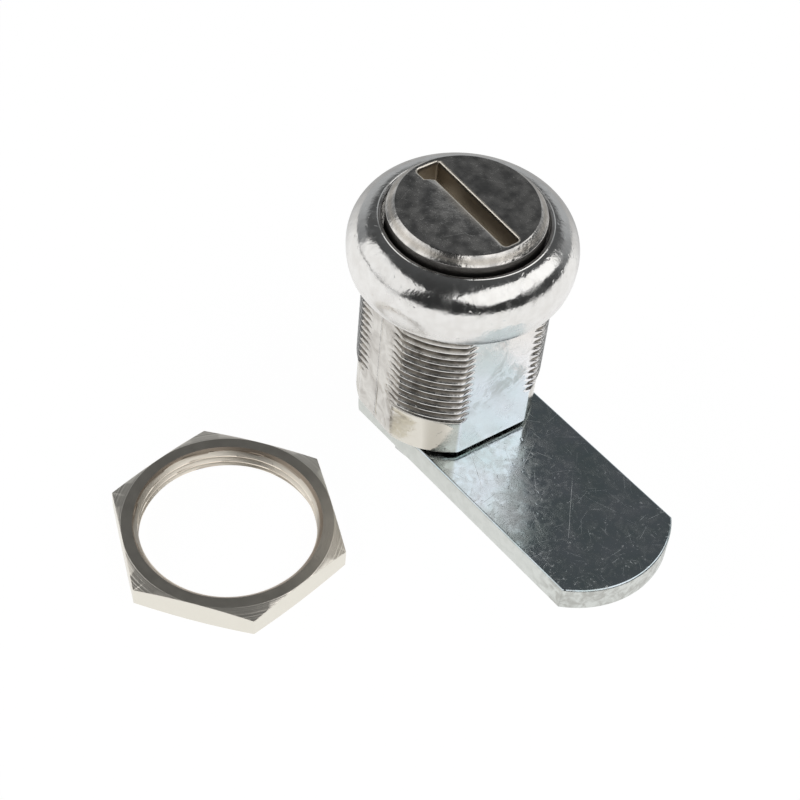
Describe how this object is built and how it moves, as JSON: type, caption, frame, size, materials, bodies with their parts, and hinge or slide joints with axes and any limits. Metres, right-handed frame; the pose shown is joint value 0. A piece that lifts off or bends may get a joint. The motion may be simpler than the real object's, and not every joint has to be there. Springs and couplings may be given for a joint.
{
  "type": "cam lock",
  "caption": "Slotted quarter-turn cam lock: threaded stem with flats and a round collar, turning plug, flat cam on a bolt, and its thin hexagonal panel nut beside it.",
  "frame": {"origin": "middle of the fixing bolt's end face, on the plug's axis; the lock stands on it", "axes": "+Z along the plug's axis towards the slotted face, +X along the cam from the axis to its tip"},
  "size_m": [0.0506, 0.0575, 0.0397],
  "materials": {
    "cast_body": "bright nickel plate on a zinc casting",
    "plug_metal": "bright nickel plate, slightly mottled",
    "seal_rubber": "black rubber",
    "cam_plate": "bright zinc plate with fine scratches",
    "plated_steel": "zinc-plated steel",
    "nut_metal": "nickel plate over turned faces"
  },
  "bodies": {
    "housing": {"body": "cast_body", "panel_nut": "nut_metal"},
    "turning": {"plug": "plug_metal", "plug_seal": "seal_rubber", "stop_washer": "plated_steel", "cam": "cam_plate", "spring_washer": "plated_steel", "fixing_bolt": "plated_steel"}
  },
  "joints": [
    {"name": "plug_turn", "type": "hinge", "parent": "housing", "child": "turning", "pos_m": [0, 0, 0], "axis": [0, 0, 1], "range_deg": [-5.2, 84.8]}
  ]
}
